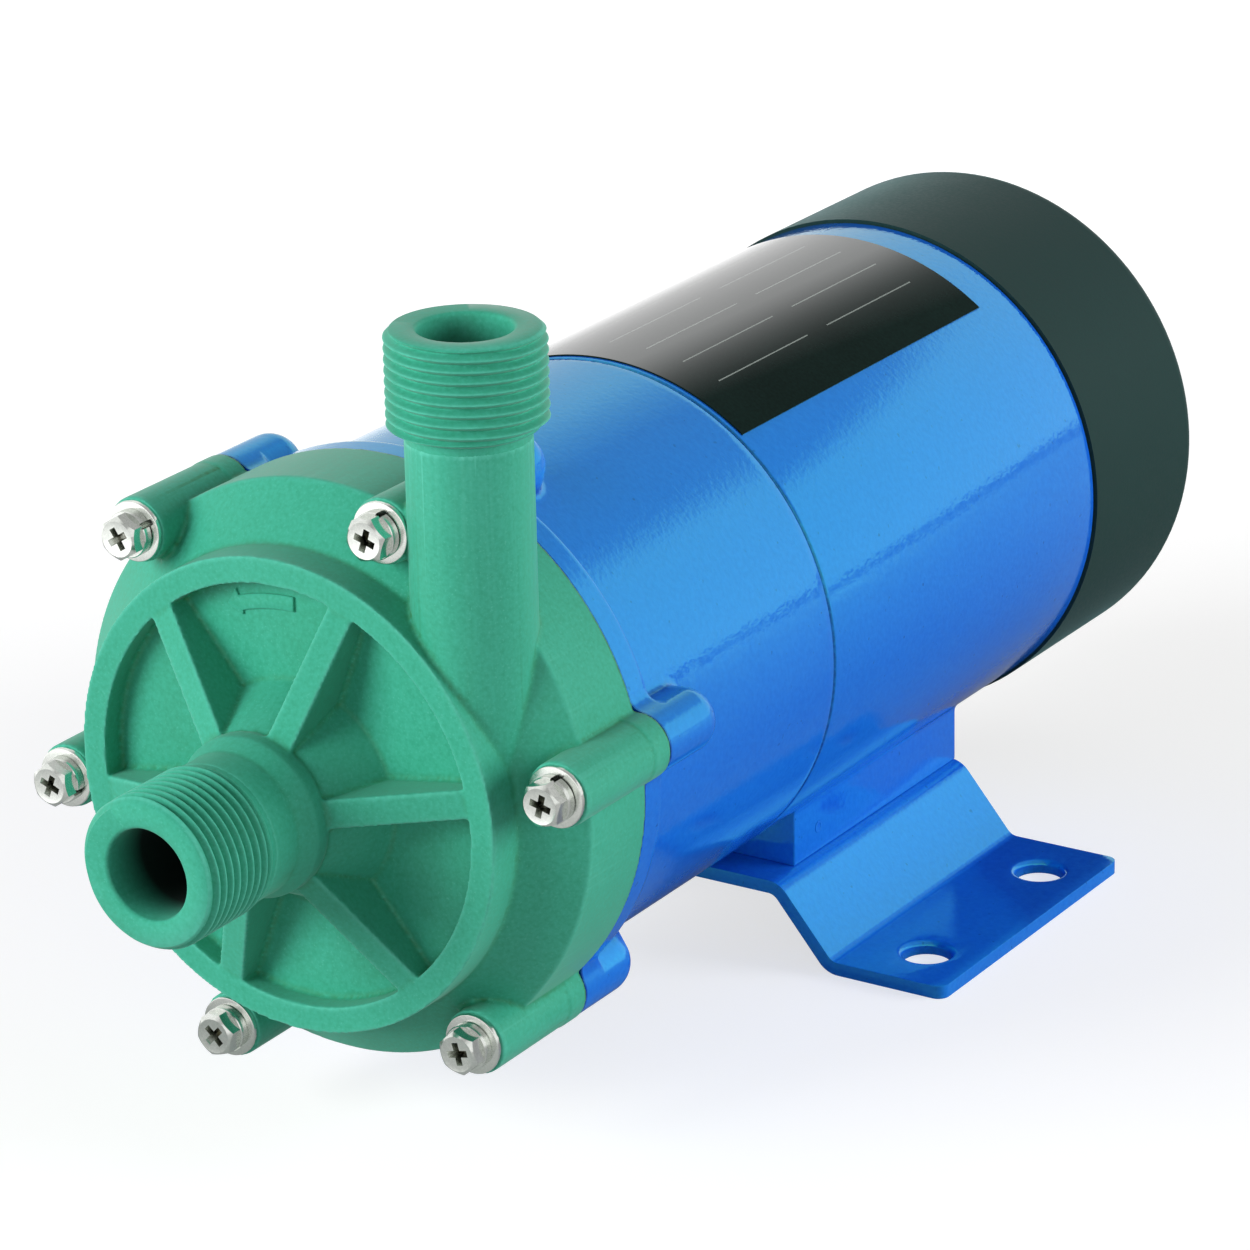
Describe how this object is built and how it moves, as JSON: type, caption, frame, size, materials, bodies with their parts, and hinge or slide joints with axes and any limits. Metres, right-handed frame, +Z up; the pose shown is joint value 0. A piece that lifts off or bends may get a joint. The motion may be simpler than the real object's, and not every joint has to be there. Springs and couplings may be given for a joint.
{
  "type": "magnetic drive pump",
  "caption": "Magnetic drive centrifugal pump: ribbed moulded casing with threaded suction and discharge ports, bracket, electric motor with fan cover, and a bent sheet base.",
  "frame": {"origin": "on the floor plane, at the centre of the four base holes", "axes": "+Z up, +Y along the shaft from the suction port towards the motor, +X to the right seen from the front"},
  "size_m": [0.1306, 0.2763, 0.1467],
  "materials": {
    "green_moulding": "satin, glass-filled moulding",
    "blue_paint": "gloss paint",
    "black_cover": "satin",
    "black_rubber": "matt",
    "zinc_steel": "bright zinc plate",
    "dark_foil": "satin printed foil, bare",
    "ceramic": "polished ceramic",
    "pale_moulding": "satin",
    "white_bush": "satin",
    "magnet": "matt sintered",
    "bare_steel": "ground",
    "lamination": "stacked sheet",
    "copper": "varnished wire",
    "cast_aluminium": "as cast",
    "fan_plastic": "satin",
    "protector_case": "satin"
  },
  "bodies": {
    "pump_body": {"front_casing": "green_moulding", "casing_screws": "zinc_steel", "split_washers": "zinc_steel", "flat_washers": "zinc_steel", "casing_seal": "black_rubber", "rear_casing": "green_moulding", "spindle": "ceramic", "front_thrust_ring": "ceramic", "rear_thrust_ring": "ceramic", "bracket": "blue_paint", "bracket_screws": "zinc_steel", "motor_housing": "blue_paint", "front_end_shield": "cast_aluminium", "rear_end_shield": "cast_aluminium", "front_bearing": "bare_steel", "rear_bearing": "bare_steel", "bearing_spring": "bare_steel", "stator_core": "lamination", "stator_windings": "copper", "thermal_protector": "protector_case", "tie_bolts": "zinc_steel", "fan_cover": "black_cover", "cover_screws": "zinc_steel", "base_plate": "blue_paint", "base_screws": "zinc_steel", "cable_gland": "black_rubber", "rating_plate": "dark_foil"},
    "motor_rotor": {"motor_shaft": "bare_steel", "rotor_core": "lamination", "rotor_cage": "cast_aluminium", "cooling_fan": "fan_plastic", "drive_yoke": "bare_steel", "drive_magnets": "magnet", "drive_grub_screw": "bare_steel"},
    "impeller_rotor": {"impeller": "pale_moulding", "impeller_shroud": "pale_moulding", "impeller_bush": "white_bush", "magnet_capsule": "pale_moulding", "inner_magnet": "magnet"}
  },
  "joints": [
    {"name": "motor_spin", "type": "hinge", "parent": "pump_body", "child": "motor_rotor", "pos_m": [0, 0, 0.064], "axis": [0, 1, 0], "continuous": true},
    {"name": "impeller_spin", "type": "hinge", "parent": "pump_body", "child": "impeller_rotor", "pos_m": [0, -0.1082, 0.064], "axis": [0, 1, 0], "continuous": true}
  ],
  "couplings": [
    {"joint": "impeller_spin", "follows": "motor_spin", "ratio": 1}
  ]
}
